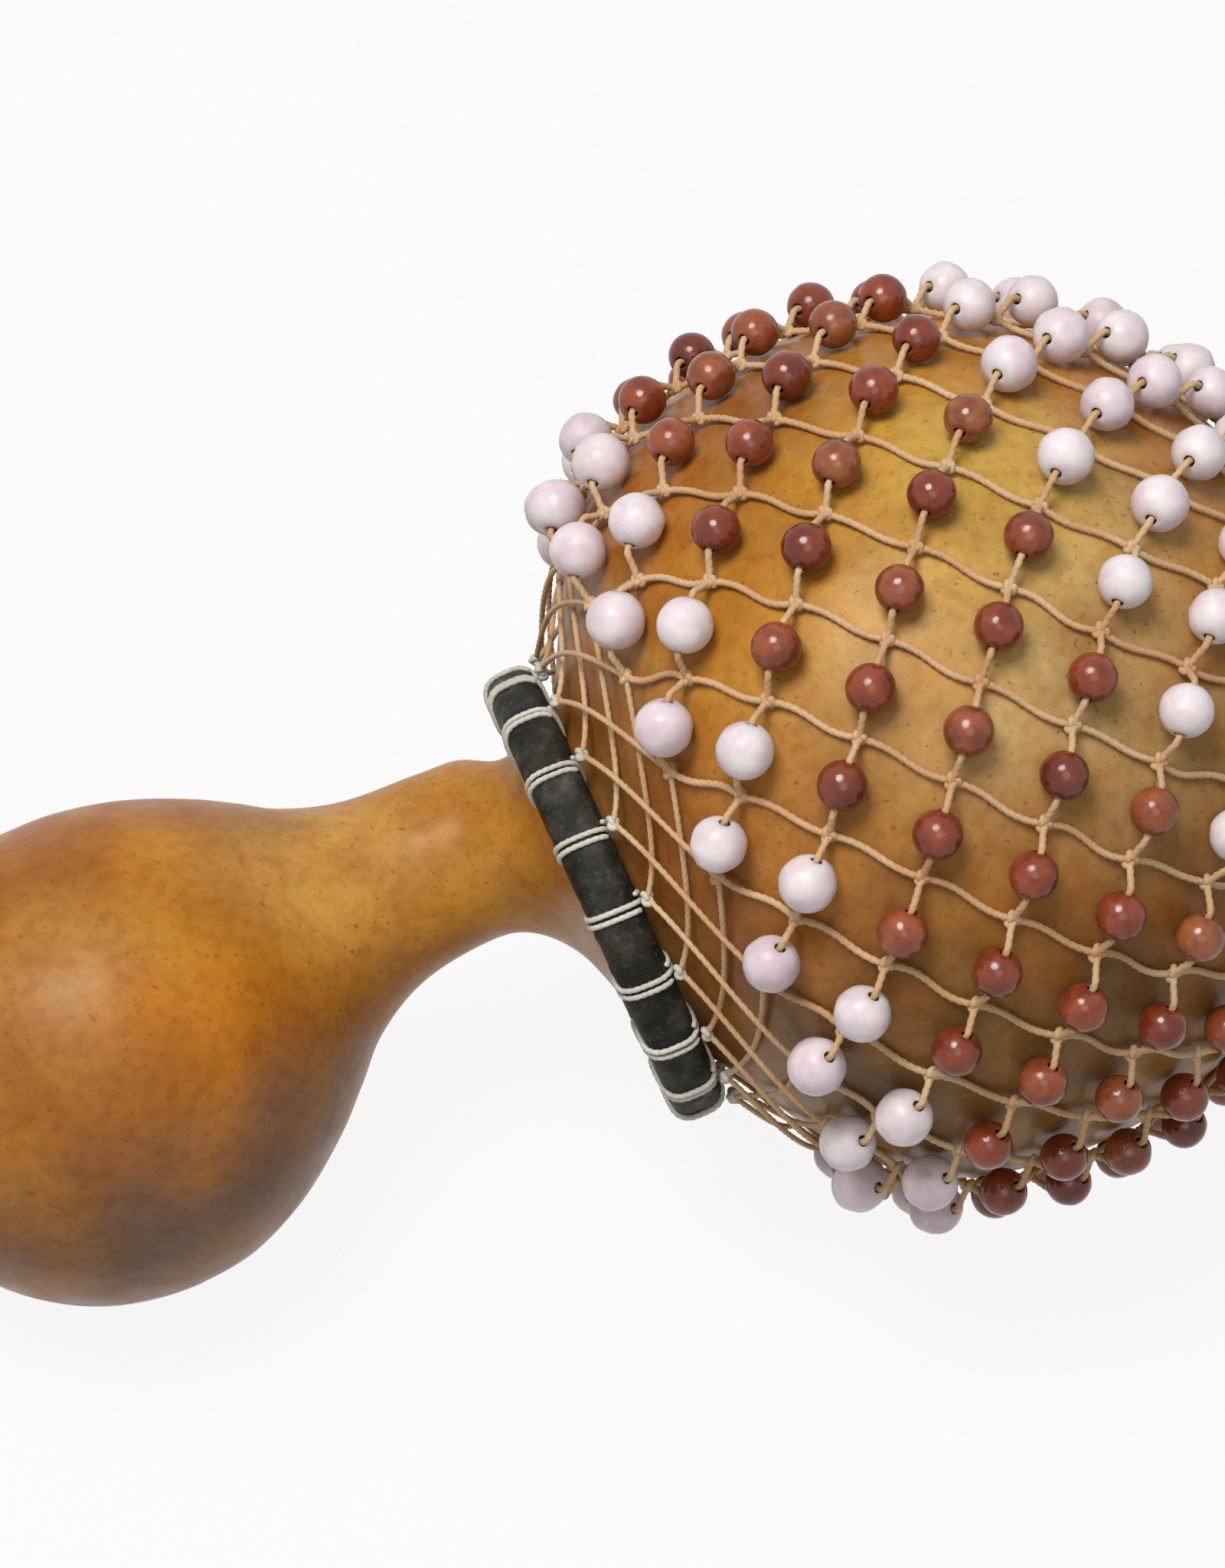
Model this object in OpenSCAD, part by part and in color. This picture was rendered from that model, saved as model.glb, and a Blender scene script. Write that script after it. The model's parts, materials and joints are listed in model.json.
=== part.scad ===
/* [Gourd] */
// Radius of the round head, mm
head_r = 77; // [73:0.5:82]
// Thickness of the dried shell, mm
wall = 4.6; // [3:0.1:6]
// Radius of the shell inside the collar, mm
seat_r = 31.8; // [30:0.1:34]
// Radius of the neck at its waist, mm
neck_r = 16.8; // [15:0.1:19]
// Waist to collar, along the head's axis, mm
neck_away = 22; // [19:0.5:26]
// Radius of the handle bulb, mm
bulb_r = 44.5; // [41:0.5:48]
// Bulb centre to collar, along the head's axis, mm
bulb_away = 95; // [90:0.5:105]
// Bulb centre off the head's axis, mm
bulb_side = 13; // [8:0.5:16]

/* [Collar] */
// Radius of the collar ring's round section, sleeve and all, mm
collar_section_r = 4.8; // [4.4:0.1:5.4]
// Thickness of the sleeve on the ring, mm
sleeve_wall = 0.9; // [0.7:0.1:1.3]
// Thickness of the cord wound round the collar, mm
hitch_cord_d = 1.1; // [0.9:0.05:1.2]
// Step from one turn of a hitch to the next, mm
hitch_step = 1.7; // [1.6:0.05:2]
// Thickness of the knot on each hitch, mm
hitch_knot_d = 2.6; // [2.4:0.1:3]

/* [Net] */
// Meshes round the head
net_count = 19; // [18:1:20]
// Thickness of the net's cord, mm
cord_d = 1.2; // [1:0.05:1.3]
// Thickness of a knot in the net, mm
knot_d = 2.8; // [2.7:0.1:3.2]
// White beads, across, mm
white_d = 10; // [9:0.1:10.4]
// Red beads, across, mm
red_d = 8.5; // [7.5:0.1:9.5]
// Hole through a bead, mm
bead_hole_d = 1.9; // [1.8:0.05:2.2]
// Rows of white beads next to the collar
first_white_rows = 2; // [1:1:4]
// Rows of red beads after them
red_rows = 5; // [3:1:7]
// Turn of the whole net round the head, degrees
net_phase_deg = 13.7; // [0:0.1:19]
// Thickness of the cord drawn through the last knots, mm
base_cord_d = 1.6; // [1.4:0.1:1.8]
// Thickness of the knot that closes the base ring, mm
base_knot_d = 4.4; // [4:0.1:5]
// Length of the two cut ends at that knot, mm
base_tail = 7; // [5:0.5:9]

/* [Hidden] */

// Gaps between pieces that touch in life, mm
bead_air = 0.3;
knot_air = 0.3;
join_air = 0.12;
collar_air = 0.35;
sleeve_air = 0.1;
strand_air = 0.5;
strand_lift = 2.1;
bead_reach = 0.3;
bend_share = 0.6;
round_fn = 48;

// The head is round, but flattened where it turns in to the neck.
flat_share = 0.13;
flat_from_deg = 108;
shoulder_rise = 3.6;
shoulder_away = 5.9;
seat_away = 2.6;
shoulder_r = seat_r + shoulder_rise;
shoulder_deg = 180 - asin(shoulder_r / ((1 - flat_share) * head_r));
head_u = shoulder_away - (1 - flat_share) * head_r * cos(shoulder_deg);

// Neck outline: place along, widening, and how far out its back line lies as a share of seat_r.
neck_back_share = 1.21;
bulb_side_shares = [[0, 1], [0.151, 0.968], [0.315, 0.828], [0.466, 0.599],
  [0.562, 0.409], [0.658, 0.211], [0.808, 0.05], [1, 0]];
collar_side_shares = [[0.309, 0.04, 1.175], [0.553, 0.151, 1.038], [0.703, 0.48, 0.988],
  [0.829, 0.836, 0.981], [0.927, 0.921, 0.981], [1, 1, 1]];
cap_rings = 9;
head_rings = 25;
span_steps = 2;
gourd_sides = 40;
cavity_sides = 24;

// Steps from one row of knots to the next: the legs lie steeper as the rings get smaller.
row_step_shares = [9.3, 8.8, 8.3, 8.1, 8, 8.2, 8.5, 9.2, 10, 10.9, 11.6];
net_start_deg = 127;
net_end_deg = 26;
net_rows = len(row_step_shares);
step_deg = 360 / net_count;

// Hitches: two turns round the ring's section, ends tucked under the knot.
hitch_turns = 2;
hitch_points = 23;
hitch_knot_deg = 52;
strand_reach = 2;
strand_points = 7;
strand_ends_share = 0.055;
strand_ease = 6;
tube_sides = 6;

// A hitch's corners stand out, so that its straight runs still clear the sleeve.
wrap_r = (collar_section_r + sleeve_air + hitch_cord_d / 2) / cos(180 * hitch_turns / (hitch_points - 1));
wrap_reach = wrap_r + hitch_cord_d / 2;
collar_line_r = seat_r + collar_air + wrap_reach;
hitch_knot_away = wrap_reach + sleeve_air + hitch_knot_d / 2;
hitch_knot_u = hitch_knot_away * sin(hitch_knot_deg);
hitch_knot_r = collar_line_r + hitch_knot_away * cos(hitch_knot_deg);

function mix(a, b, t) = a + (b - a) * t;
function smooth(t) = let (c = min(1, max(0, t))) c * c * (3 - 2 * c);
function unit(v) = v / norm(v);
function spline(a, b, c, d, t) =
  (2 * b + (c - a) * t + (2 * a - 5 * b + 4 * c - d) * t * t + (3 * b - a - 3 * c + d) * t * t * t) / 2;

// Distance of the head's surface from its centre, at an angle from the far pole.
function head_at(deg) =
  head_r * (1 - flat_share * smooth((deg - flat_from_deg) / (shoulder_deg - flat_from_deg)));
function lean(deg) = (head_at(deg + 1) - head_at(deg - 1)) / (2 * head_at(deg)) * 180 / PI;
function raised(deg, height) = head_at(deg) + height * sqrt(1 + lean(deg) * lean(deg));
function on_head(deg, turn, height) =
  let (rho = raised(deg, height))
  [head_u + rho * cos(deg), -rho * sin(deg) * sin(turn), rho * sin(deg) * cos(turn)];

// Stations of the shell, each [along, radius, sideways].
function handle_station(s) =
  let (r = mix(neck_r, bulb_r, s[1]))
  [mix(-bulb_away, -neck_away, s[0]), r, mix(seat_r * neck_back_share, bulb_side + bulb_r, s[1]) - r];
function seat_station(s) =
  let (r = mix(neck_r, seat_r, s[1]))
  [mix(-neck_away, seat_away, s[0]), r, seat_r * s[2] - r];
function head_station(deg, off) =
  [head_u + (head_at(deg) - off) * cos(deg), (head_at(deg) - off) * sin(deg), 0];
stations = concat(
  [for (s = bulb_side_shares) handle_station(s)],
  [for (s = collar_side_shares) seat_station(s)],
  [head_station(shoulder_deg, 0), head_station(shoulder_deg - 180 / head_rings, 0)]);
last = len(stations) - 1;
function cap_station(a, off) = [-bulb_away - (bulb_r - off) * cos(a), (bulb_r - off) * sin(a), bulb_side];
function pulled_in(list, i, off) =
  let (d = [list[i + 1][0] - list[i - 1][0], list[i + 1][1] - list[i - 1][1]], n = norm(d))
  [list[i][0] + off * d[1] / n, list[i][1] - off * d[0] / n, list[i][2]];

outer_rings = concat(
  [for (i = [1 : cap_rings - 1]) cap_station(90 * i / cap_rings, 0)],
  [for (i = [0 : last - 2], j = [0 : span_steps - 1])
    spline(stations[max(0, i - 1)], stations[i], stations[i + 1], stations[i + 2], j / span_steps)],
  [for (i = [0 : head_rings - 1]) head_station(shoulder_deg * (1 - i / head_rings), 0)]);
inner_rings = concat(
  [for (i = [1 : 2 : cap_rings - 1]) cap_station(90 * i / cap_rings, wall)],
  [for (i = [1 : last - 2]) pulled_in(stations, i, wall)],
  [for (i = [0 : 2 : head_rings - 1]) head_station(shoulder_deg * (1 - i / head_rings), wall)]);

// Knots, beads and cords of the net.
function steps_to(n) = n == 0 ? 0 : row_step_shares[n - 1] + steps_to(n - 1);
function knot_deg(row) = mix(net_start_deg, net_end_deg, steps_to(row - 1) / steps_to(net_rows));
function knot_at(row, i) =
  on_head(knot_deg(row), net_phase_deg + (i + row / 2) * step_deg, knot_air + knot_d / 2);
function is_red(row) = row > first_white_rows && row <= first_white_rows + red_rows;
function bead_d(row) = is_red(row) ? red_d : white_d;
function bead_at(row, i) =
  on_head((knot_deg(row) + knot_deg(row + 1)) / 2, net_phase_deg + (i + row / 2 - 1 / 4) * step_deg,
    bead_air + bead_d(row) / 2);
function leg_way(row, i) = unit(knot_at(row + 1, i - 1) - knot_at(row, i));

// Lying on a table, the head rests on its beads and the handle on its bulb.
lie_deg = asin((head_r + bead_air + red_d - bulb_r) / (head_u + bulb_away));
function lie(p) =
  [p[0] * cos(lie_deg) - p[2] * sin(lie_deg), p[1], p[0] * sin(lie_deg) + p[2] * cos(lie_deg)];
rounds = concat([[lie([-bulb_away, bulb_side, 0]), bulb_r], [lie([head_u, 0, 0]), head_r]],
  [for (row = [1 : net_rows], i = [0 : net_count - 1]) [lie(bead_at(row, i)), bead_d(row) / 2]]);
low = [for (a = [0 : 2]) min([for (b = rounds) b[0][a] - b[1]])];
high = [for (a = [0 : 2]) max([for (b = rounds) b[0][a] + b[1]])];

// Hitches and neck strands.
function hitch_turn(i) = net_phase_deg + (i + 1 / 2) * step_deg;
function round_head(u, r, turn) = [u, -r * sin(turn), r * cos(turn)];
function hitch_route(i) = [
  for (k = [0 : hitch_points - 1])
    let (t = k / (hitch_points - 1),
      a = hitch_knot_deg - 360 * hitch_turns * t,
      side = hitch_step * hitch_turns * (t - 1 / 2),
      c = round_head(wrap_r * sin(a), collar_line_r + wrap_r * cos(a), hitch_turn(i)))
    c + side * [0, cos(hitch_turn(i)), sin(hitch_turn(i))]];
hitch_knot_head_deg = atan2(hitch_knot_r, hitch_knot_u - head_u);
hitch_knot_rho = norm([hitch_knot_r, hitch_knot_u - head_u]);
hitch_height =
  (hitch_knot_rho - head_at(hitch_knot_head_deg)) / sqrt(1 + pow(lean(hitch_knot_head_deg), 2));
function strand_height(t, mid) =
  let (a = pow(1 - t, strand_ease), b = pow(t, strand_ease))
  a * hitch_height + b * (knot_air + knot_d / 2) + (1 - a - b) * mid;
function strand_route(i, side, mid) = [
  for (k = [0 : strand_points - 1])
    let (t = mix(strand_ends_share, 1 - strand_ends_share, k / (strand_points - 1)),
      turn = hitch_turn(i) + side * strand_reach * step_deg * t)
    on_head(mix(hitch_knot_head_deg, net_start_deg, t), turn, strand_height(t, mid))];

function way(route, k) = unit(route[min(k + 1, len(route) - 1)] - route[max(k - 1, 0)]);
function gap_in(route, apart, thick) =
  min([for (a = [0 : len(route) - 1 - apart], b = [a + apart : len(route) - 1])
    norm(route[a] - route[b])]) - thick;
echo(least_hitch_gap = gap_in(hitch_route(0), ceil(hitch_points / 3), hitch_cord_d));
echo(lie_deg = lie_deg, head_u = head_u, size = high - low, leg = norm(knot_at(6, 1) - knot_at(5, 1)));
echo(low = low, high = high);

module laid() {
  translate([-(low[0] + high[0]) / 2, -(low[1] + high[1]) / 2, -low[2]])
    rotate([0, -lie_deg, 0])
      children();
}

module loft(first, rings, final, sides) {
  n = len(rings);
  points = concat([first],
    [for (g = rings, k = [0 : sides - 1])
      [g[0], g[2] + g[1] * cos(360 * k / sides), g[1] * sin(360 * k / sides)]],
    [final]);
  faces = concat(
    [for (k = [0 : sides - 1]) [0, 1 + k, 1 + (k + 1) % sides]],
    [for (j = [0 : n - 2], k = [0 : sides - 1])
      [1 + j * sides + k, 1 + (j + 1) * sides + k, 1 + j * sides + (k + 1) % sides]],
    [for (j = [0 : n - 2], k = [0 : sides - 1])
      [1 + j * sides + (k + 1) % sides, 1 + (j + 1) * sides + k, 1 + (j + 1) * sides + (k + 1) % sides]],
    [for (k = [0 : sides - 1])
      [1 + n * sides, 1 + (n - 1) * sides + (k + 1) % sides, 1 + (n - 1) * sides + k]]);
  polyhedron(points = points, faces = faces);
}

// One unbroken tube along a route of points; up gives its sides a steady direction.
module tube(route, up, r) {
  n = len(route);
  points = [for (k = [0 : n - 1], s = [0 : tube_sides - 1])
    let (w = way(route, k), x = unit(cross(up[k], w)), y = cross(w, x), a = 360 * s / tube_sides)
    route[k] + r * (x * cos(a) + y * sin(a))];
  faces = concat(
    [for (s = [1 : tube_sides - 2]) [0, s, s + 1]],
    [for (k = [0 : n - 2], s = [0 : tube_sides - 1])
      [k * tube_sides + s, (k + 1) * tube_sides + s, k * tube_sides + (s + 1) % tube_sides]],
    [for (k = [0 : n - 2], s = [0 : tube_sides - 1])
      [k * tube_sides + (s + 1) % tube_sides, (k + 1) * tube_sides + s,
        (k + 1) * tube_sides + (s + 1) % tube_sides]],
    [for (s = [1 : tube_sides - 2]) let (o = (n - 1) * tube_sides) [o, o + s + 1, o + s]]);
  polyhedron(points = points, faces = faces);
}

module between(a, b) {
  d = b - a;
  translate(a)
    rotate([0, acos(d[2] / norm(d)), atan2(d[1], d[0])])
      children();
}

module rod(a, b, r) {
  between(a, b)
    cylinder(h = norm(b - a), r = r, $fn = round_fn);
}

module ball(p, r) {
  translate(p)
    sphere(r = r, $fn = round_fn);
}

module ring(line_r, r) {
  rotate([0, 90, 0])
    rotate_extrude($fn = round_fn)
      translate([line_r, 0, 0])
        circle(r = r, $fn = round_fn);
}

module gourd_shell() {
  color([0.74, 0.46, 0.14])
    laid()
      difference() {
        loft([-bulb_away - bulb_r, bulb_side, 0], outer_rings, [head_u + head_r, 0, 0], gourd_sides);
        loft([-bulb_away - bulb_r + wall, bulb_side, 0], inner_rings, [head_u + head_r - wall, 0, 0],
          cavity_sides);
      }
}

module collar_core() {
  color([0.3, 0.27, 0.22])
    laid()
      ring(collar_line_r, collar_section_r - sleeve_wall - sleeve_air);
}

module collar_sleeve() {
  color([0.13, 0.13, 0.12])
    laid()
      difference() {
        ring(collar_line_r, collar_section_r);
        ring(collar_line_r, collar_section_r - sleeve_wall);
      }
}

module collar_hitches() {
  color([0.86, 0.84, 0.76])
    laid()
      for (i = [0 : net_count - 1]) {
        route = hitch_route(i);
        centre = round_head(0, collar_line_r, hitch_turn(i));
        tube(route, [for (p = route) unit(p - centre)], hitch_cord_d / 2);
      }
}

module hitch_knots() {
  color([0.88, 0.85, 0.76])
    laid()
      for (i = [0 : net_count - 1]) {
        ball(round_head(hitch_knot_u, hitch_knot_r, hitch_turn(i)), hitch_knot_d / 2);
      }
}

module neck_strands(side, mid) {
  color([0.84, 0.68, 0.48])
    laid()
      for (i = [0 : net_count - 1]) {
        route = strand_route(i, side, mid);
        tube(route, [for (p = route) unit(p - [head_u, 0, 0])], cord_d / 2);
      }
}

module neck_strands_left() {
  neck_strands(-1, strand_air + cord_d / 2);
}

module neck_strands_right() {
  neck_strands(1, strand_air + cord_d / 2 + strand_lift);
}

// A ball turned about the hole that its cord runs through.
module bead(r) {
  rotate_extrude($fn = round_fn)
    intersection() {
      circle(r = r, $fn = round_fn);
      translate([bead_hole_d / 2, -r, 0])
        square([r, 2 * r]);
    }
}

module bead_row(row) {
  color(is_red(row) ? [0.36, 0.07, 0.05] : [0.93, 0.88, 0.88])
    laid()
      for (i = [0 : net_count - 1]) {
        p = bead_at(row, i);
        between(p, p + leg_way(row, i))
          bead(bead_d(row) / 2);
      }
}

// Stands its children on a, along the way to b, with their seams on the given side.
module along(a, b, seam) {
  z = unit(b - a);
  x = unit(seam - (seam * z) * z);
  y = cross(z, x);
  multmatrix([[x[0], y[0], z[0], a[0]], [x[1], y[1], z[1], a[1]], [x[2], y[2], z[2], a[2]]])
    children();
}

// A rod with a ball on its start, or on both ends.
module headed_rod(length, r, head, both = false) {
  rotate_extrude($fn = round_fn) {
    square([r, length]);
    intersection() {
      circle(r = head, $fn = round_fn);
      translate([0, -head, 0])
        square([head, 2 * head]);
    }
    if (both) {
      intersection() {
        translate([0, length, 0])
          circle(r = head, $fn = round_fn);
        translate([0, length - head, 0])
          square([head, 2 * head]);
      }
    }
  }
}

// A knot with its two legs: one carries the bead, the other runs bare to the next knot.
module net_mesh(row, i) {
  a = knot_at(row, i);
  b = knot_at(row + 1, i - 1);
  c = knot_at(row + 1, i);
  p = bead_at(row, i);
  out = leg_way(row, i) * (bead_d(row) / 2 + bead_reach);
  stop = knot_d / 2 + join_air;
  up = p - [head_u, 0, 0];
  along(a, c, a - p)
    headed_rod(norm(c - a) - stop, cord_d / 2, knot_d / 2);
  along(a, p - out, up)
    cylinder(h = norm(p - out - a), r = cord_d / 2, $fn = round_fn);
  along(p - out, p + out, up)
    headed_rod(2 * norm(out), cord_d / 2, cord_d * bend_share, true);
  along(p + out, b, up)
    cylinder(h = norm(b - p - out) - stop, r = cord_d / 2, $fn = round_fn);
}

module net_course(row) {
  color([0.86, 0.7, 0.5])
    laid()
      for (i = [0 : net_count - 1]) {
        union() {
          net_mesh(row, i);
        }
      }
}

base_rho = raised(net_end_deg, knot_air + knot_d / 2);
base_ring_u = head_u + base_rho * cos(net_end_deg);
base_ring_r = base_rho * sin(net_end_deg);
base_knot_turn = net_phase_deg + (1 / 2 + (net_rows + 1) / 2) * step_deg;
base_knot_p = round_head(base_ring_u, base_ring_r, base_knot_turn);
base_pole_way = [sin(net_end_deg), cos(net_end_deg) * sin(base_knot_turn),
  -cos(net_end_deg) * cos(base_knot_turn)];
base_side_way = [0, cos(base_knot_turn), sin(base_knot_turn)];

module base_ring() {
  color([0.84, 0.68, 0.48])
    laid()
      union() {
        translate([base_ring_u, 0, 0])
          ring(base_ring_r, base_cord_d / 2);
        for (i = [0 : net_count - 1]) {
          ball(knot_at(net_rows + 1, i), knot_d / 2);
        }
      }
}

module base_knot() {
  lift = (base_knot_d / 2 - knot_d / 2) * unit(base_knot_p - [head_u, 0, 0]);
  color([0.84, 0.68, 0.48])
    laid()
      difference() {
        union() {
          ball(base_knot_p + lift, base_knot_d / 2);
          for (s = [-1, 1]) {
            tail = unit(base_pole_way + s * base_side_way) * base_tail;
            rod(base_knot_p + lift, base_knot_p + lift + tail, base_cord_d / 2);
          }
        }
        translate([base_ring_u, 0, 0])
          ring(base_ring_r, base_cord_d / 2 + join_air);
      }
}

gourd_shell();
collar_core();
collar_sleeve();
collar_hitches();
hitch_knots();
neck_strands_left();
neck_strands_right();
bead_row(1);  // bead_row_01
bead_row(2);  // bead_row_02
bead_row(3);  // bead_row_03
bead_row(4);  // bead_row_04
bead_row(5);  // bead_row_05
bead_row(6);  // bead_row_06
bead_row(7);  // bead_row_07
bead_row(8);  // bead_row_08
bead_row(9);  // bead_row_09
bead_row(10);  // bead_row_10
bead_row(11);  // bead_row_11
net_course(1);  // net_course_01
net_course(2);  // net_course_02
net_course(3);  // net_course_03
net_course(4);  // net_course_04
net_course(5);  // net_course_05
net_course(6);  // net_course_06
net_course(7);  // net_course_07
net_course(8);  // net_course_08
net_course(9);  // net_course_09
net_course(10);  // net_course_10
net_course(11);  // net_course_11
base_ring();
base_knot();
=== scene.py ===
# %% [markdown]
# # A beaded gourd rattle
# A shekere is a dried, hollow gourd in a loose net of cord and beads. Shaking it or
# twisting it lets the beads slap the shell. This lesson dresses a model whose solids
# were made first, so each piece here sits where its solid is.
# The frame comes first: it gives the bodies that move and the box that must hold.

# %% Load the frame
import json
import math
import random

import bmesh
import bpy
import numpy as np
from mathutils import Matrix, Vector, noise

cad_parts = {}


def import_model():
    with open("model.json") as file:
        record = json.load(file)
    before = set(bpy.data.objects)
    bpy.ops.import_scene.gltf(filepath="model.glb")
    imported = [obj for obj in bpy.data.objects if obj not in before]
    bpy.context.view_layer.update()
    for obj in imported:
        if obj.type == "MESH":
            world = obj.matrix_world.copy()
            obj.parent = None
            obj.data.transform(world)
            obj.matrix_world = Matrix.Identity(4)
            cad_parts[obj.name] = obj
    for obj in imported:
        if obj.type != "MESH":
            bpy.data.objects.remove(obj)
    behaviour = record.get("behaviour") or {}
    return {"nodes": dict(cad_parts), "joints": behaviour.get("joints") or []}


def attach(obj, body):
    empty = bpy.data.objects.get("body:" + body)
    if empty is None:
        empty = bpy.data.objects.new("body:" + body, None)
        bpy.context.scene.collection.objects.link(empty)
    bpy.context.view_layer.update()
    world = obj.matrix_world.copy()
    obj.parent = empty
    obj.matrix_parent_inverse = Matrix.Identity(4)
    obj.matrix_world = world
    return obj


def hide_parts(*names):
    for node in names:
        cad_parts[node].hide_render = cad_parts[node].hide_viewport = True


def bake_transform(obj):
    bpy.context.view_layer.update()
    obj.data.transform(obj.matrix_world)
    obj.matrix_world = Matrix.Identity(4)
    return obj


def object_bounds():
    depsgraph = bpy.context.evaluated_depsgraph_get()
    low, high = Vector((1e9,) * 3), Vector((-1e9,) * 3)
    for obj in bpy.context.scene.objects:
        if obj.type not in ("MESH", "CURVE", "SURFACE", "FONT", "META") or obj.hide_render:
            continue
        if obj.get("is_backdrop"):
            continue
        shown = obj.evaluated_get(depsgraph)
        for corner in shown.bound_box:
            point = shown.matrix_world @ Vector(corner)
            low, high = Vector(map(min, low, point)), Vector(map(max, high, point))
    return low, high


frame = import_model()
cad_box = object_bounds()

print("box, mm:", [round(1000 * (b - a)) for a, b in zip(*cad_box)])

# %% [markdown]
# ## One head axis for everything
# The gourd's head, the net and the collar all share one axis, tilted because the head
# with its beads is thicker than the handle bulb that it lies on. Points are therefore
# written in millimetres along that axis and round it, and turned into the row frame
# at the last moment. The net's joint says where the axis is, so nothing is fitted.

# %% The head's axis
MM = 0.001
net_joint = next(j for j in frame["joints"] if j["name"] == "net_turn")
head_centre = np.array(net_joint["pos_m"], float)
along = np.array(net_joint["axis"], float)
along /= np.linalg.norm(along)
side = np.array([0.0, 1.0, 0.0])
over = np.cross(along, side)

head_r, flat_share, flat_from_deg = 77.0, 0.13, 108.0
seat_r, shoulder_rise, shoulder_away = 31.8, 3.6, 5.9
pressed_r = (1 - flat_share) * head_r
shoulder_deg = 180 - math.degrees(math.asin((seat_r + shoulder_rise) / pressed_r))
head_u = shoulder_away - pressed_r * math.cos(math.radians(shoulder_deg))


def world(points):
    """Points in millimetres on the head's axis, as metres in the row frame."""
    p = np.asarray(points, float) * MM
    return head_centre + (p[..., :1] - head_u * MM) * along + p[..., 1:2] * side + p[..., 2:] * over


def unit(v):
    v = np.asarray(v, float)
    return v / np.linalg.norm(v, axis=-1, keepdims=True)


collar_centre = world([0, 0, 0])
print("head centre, mm:", (head_centre * 1000).round(1), "collar to head centre:", round(head_u, 2))

# %% [markdown]
# ## The camera
# The camera was fitted to the places of sixty-two beads. They lie about 20 pixels off
# a perfectly regular net: a real one hangs unevenly, and a fit is never exact. The
# distance of about a metre is assumed. The camera looks down by 49 degrees and sees
# the handle to the left, and a long lens gives the picture's mild perspective. The
# frame is 1600 by 2048 pixels.

# %% Camera
picture = (1600, 2048)
camera_azimuth, camera_elevation, camera_roll = -19.92, 49.03, 0.44
camera_away, camera_x, camera_y = 997.8, -1.48, -19.6
pixels_per_mm, sensor_mm, see_to = 7.3, 36, 20

az, el, roll = (math.radians(a) for a in (camera_azimuth, camera_elevation, camera_roll))
back = np.array([math.sin(az) * math.cos(el), -math.cos(az) * math.cos(el), math.sin(el)])
level = np.array([math.cos(az), math.sin(az), 0.0])
upright = np.cross(back, level)
right = level * math.cos(roll) + upright * math.sin(roll)
up = upright * math.cos(roll) - level * math.sin(roll)
eye = collar_centre + MM * (back * camera_away - right * camera_x - up * camera_y)

lens = bpy.data.cameras.new("camera")
lens.sensor_fit = "VERTICAL"
lens.sensor_height = sensor_mm
lens.lens = pixels_per_mm * camera_away * sensor_mm / picture[1]
lens.clip_end = see_to
camera = bpy.data.objects.new("camera", lens)
camera.matrix_world = Matrix.Translation(Vector(eye)) @ Matrix((right, up, back)).transposed().to_4x4()
bpy.context.collection.objects.link(camera)
bpy.context.scene.camera = camera
print("lens, mm:", round(lens.lens, 1), "eye:", eye.round(3))

# %% [markdown]
# ## Grids of points
# Nearly everything here is either a tube along a route or a form turned on a lathe.
# Both are rings of points, so one function joins any rings into faces. Many small
# forms are piled up and become one mesh, which is far quicker in Blender than a
# thousand objects. A tone per point lets one material vary from bead to bead.

# %% Rings into faces
def ring_faces(rings, sides, start=0, looped=False):
    faces = []
    for k in range(rings if looped else rings - 1):
        a, b = start + k * sides, start + (k + 1) % rings * sides
        faces += [(a + s, a + (s + 1) % sides, b + (s + 1) % sides, b + s) for s in range(sides)]
    if not looped:
        faces.append(tuple(start + s for s in reversed(range(sides))))
        faces.append(tuple(start + (rings - 1) * sides + s for s in range(sides)))
    return faces


class Pile:
    """Grids of points in millimetres, piled up to become one mesh."""

    def __init__(self):
        self.points, self.faces, self.tones, self.count = [], [], [], 0

    def add(self, grid, tone=0.5, looped=False):
        rings, sides = grid.shape[:2]
        self.faces += ring_faces(rings, sides, self.count, looped)
        self.points.append(grid.reshape(-1, 3))
        self.tones.append(np.repeat(np.broadcast_to(tone, rings), sides))
        self.count += rings * sides


print("faces of a tube of 3 rings, closed at both ends:", len(ring_faces(3, 8)))

# %% [markdown]
# ## From a pile to a piece
# A piece of the scene is one object that rides on a moving body and stands for one
# solid of the frame. The tone goes along as an attribute, which the materials read.

# %% Place a piece
def place(name, pile, material, node, body=None):
    mesh = bpy.data.meshes.new(name)
    mesh.from_pydata(world(np.concatenate(pile.points)).tolist(), [], pile.faces)
    mesh.polygons.foreach_set("use_smooth", [True] * len(mesh.polygons))
    tones = mesh.attributes.new("tone", "FLOAT", "POINT")
    tones.data.foreach_set("value", np.concatenate(pile.tones).astype(np.float32))
    form = bmesh.new()
    form.from_mesh(mesh)
    bmesh.ops.recalc_face_normals(form, faces=form.faces)
    form.to_mesh(mesh)
    form.free()
    mesh.materials.append(material)
    piece = bpy.data.objects.new(name, mesh)
    bpy.context.collection.objects.link(piece)
    if body:
        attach(piece, body)
    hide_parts(node)
    return piece


print("solids that wait for a finish:", len(frame["nodes"]))

# %% [markdown]
# ## Materials from nodes
# Each finish is written as nodes, in object coordinates, so it needs no unwrapping and
# has its real scale. This small class wires a noise through a colour ramp, mixes
# colours and fades a tone round a place. What is the same all over, such as how
# strongly a surface mirrors, is set on the shader itself.

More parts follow.
